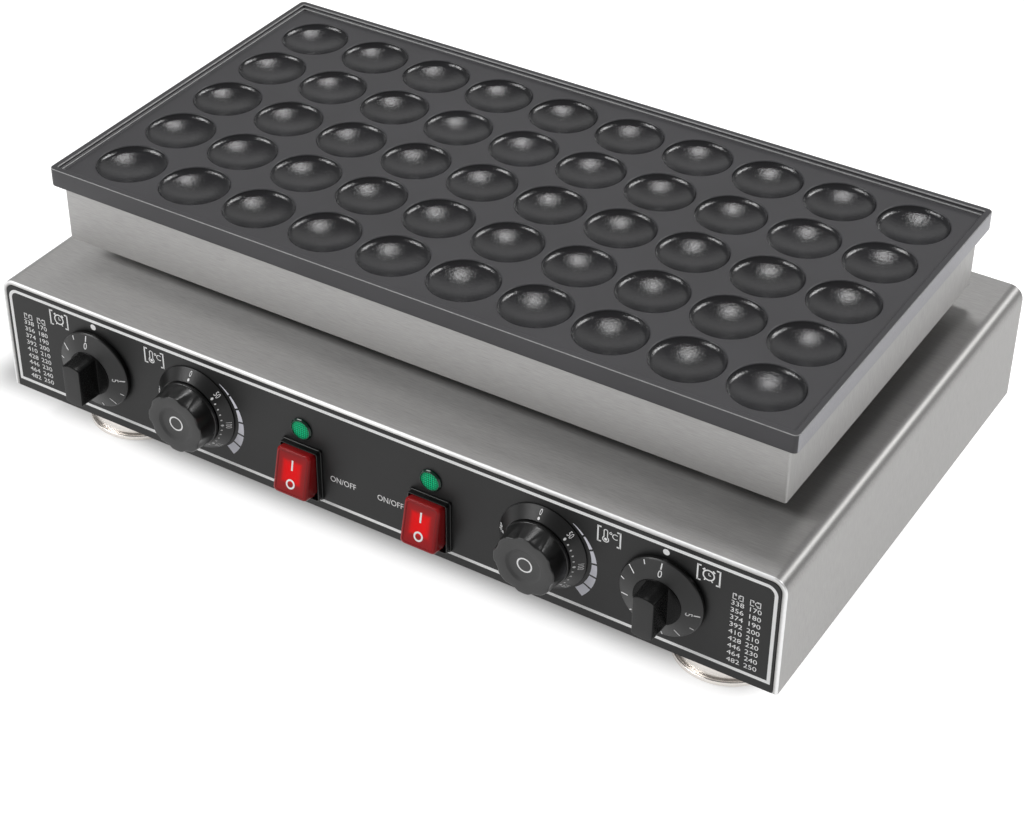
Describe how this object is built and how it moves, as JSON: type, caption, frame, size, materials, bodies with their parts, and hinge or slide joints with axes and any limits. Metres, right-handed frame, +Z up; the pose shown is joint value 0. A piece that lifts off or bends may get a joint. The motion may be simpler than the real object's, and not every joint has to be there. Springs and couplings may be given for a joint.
{
  "type": "mini pancake maker",
  "caption": "Countertop electric baker for small pancakes: coated plate of round cups on a heater housing over a steel base with timers, thermostats, lit rockers and pilot lamps.",
  "frame": {"origin": "middle of the bounding box, on the surface the feet stand on", "axes": "+X to the right seen from the controls, +Y from the controls to the back, +Z up"},
  "size_m": [0.56, 0.386, 0.1877],
  "materials": {
    "brushed_sheet": "brushed stainless sheet",
    "fastener_steel": "zinc plated steel",
    "foot_metal": "turned and polished",
    "pad_rubber": "moulded",
    "insulation": "mineral wool blanket",
    "shield_foil": "plain mill sheet",
    "heater_tube": "oxidised tube",
    "coated_plate": "satin charcoal non-stick coat",
    "panel_black": "printed satin film",
    "control_case": "plain",
    "sensor_copper": "bare copper",
    "dial_grey": "satin dark grey with white print",
    "switch_black": "moulded",
    "lamp_white": "moulded",
    "lamp_green": "clear green lens",
    "earth_brass": "turned",
    "grip_black": "glossy moulded",
    "knob_black": "moulded, satin face",
    "rocker_red": "lit clear red cap"
  },
  "bodies": {
    "base": {"base_cover": "brushed_sheet", "front_plate": "brushed_sheet", "control_panel": "panel_black", "rear_plate": "brushed_sheet", "bottom_plate": "brushed_sheet", "cover_screws": "fastener_steel", "rear_screws": "fastener_steel", "control_screws": "fastener_steel", "foot_front_left": "foot_metal", "foot_front_right": "foot_metal", "foot_rear_left": "foot_metal", "foot_rear_right": "foot_metal", "foot_pads": "pad_rubber", "foot_bolts": "fastener_steel", "wire_duct": "brushed_sheet", "spacer_pillars": "brushed_sheet", "tie_rods": "fastener_steel", "tie_nuts": "fastener_steel", "heater_housing": "brushed_sheet", "insulation_blanket": "insulation", "heat_shield": "shield_foil", "heating_element_left": "heater_tube", "heating_element_right": "heater_tube", "element_clamps": "fastener_steel", "clamp_studs": "fastener_steel", "baking_plate": "coated_plate", "thermostat_body_left": "control_case", "thermostat_body_right": "control_case", "thermostat_bulb_left": "sensor_copper", "thermostat_bulb_right": "sensor_copper", "scale_ring_left": "dial_grey", "scale_ring_right": "dial_grey", "timer_body_left": "control_case", "timer_body_right": "control_case", "switch_body_left": "switch_black", "switch_body_right": "switch_black", "rocker_pins": "fastener_steel", "lamp_body_left": "lamp_white", "lamp_body_right": "lamp_white", "lamp_lens_left": "lamp_green", "lamp_lens_right": "lamp_green", "cable_gland": "switch_black", "gland_nut": "switch_black", "terminal_block": "lamp_white", "earth_stud": "earth_brass"},
    "timer_knob_left": {"timer_shaft_left": "fastener_steel", "timer_dial_left": "dial_grey", "timer_grip_left": "grip_black"},
    "thermostat_knob_left": {"thermostat_shaft_left": "fastener_steel", "thermostat_knob_left": "knob_black"},
    "rocker_left": {"rocker_left": "rocker_red"},
    "timer_knob_right": {"timer_shaft_right": "fastener_steel", "timer_dial_right": "dial_grey", "timer_grip_right": "grip_black"},
    "thermostat_knob_right": {"thermostat_shaft_right": "fastener_steel", "thermostat_knob_right": "knob_black"},
    "rocker_right": {"rocker_right": "rocker_red"}
  },
  "joints": [
    {"name": "timer_turn_left", "type": "hinge", "parent": "base", "child": "timer_knob_left", "pos_m": [-0.2055, -0.168, 0.077], "axis": [0, 1, 0], "range_deg": [0, 265]},
    {"name": "thermostat_turn_left", "type": "hinge", "parent": "base", "child": "thermostat_knob_left", "pos_m": [-0.126, -0.168, 0.077], "axis": [0, 1, 0], "range_deg": [0, 279]},
    {"name": "rocker_tip_left", "type": "hinge", "parent": "base", "child": "rocker_left", "pos_m": [-0.0448, -0.167, 0.063], "axis": [1, 0, 0], "range_deg": [0, 27]},
    {"name": "timer_turn_right", "type": "hinge", "parent": "base", "child": "timer_knob_right", "pos_m": [0.2055, -0.168, 0.077], "axis": [0, 1, 0], "range_deg": [0, 265]},
    {"name": "thermostat_turn_right", "type": "hinge", "parent": "base", "child": "thermostat_knob_right", "pos_m": [0.126, -0.168, 0.077], "axis": [0, 1, 0], "range_deg": [0, 279]},
    {"name": "rocker_tip_right", "type": "hinge", "parent": "base", "child": "rocker_right", "pos_m": [0.0486, -0.167, 0.063], "axis": [1, 0, 0], "range_deg": [0, 27]}
  ]
}
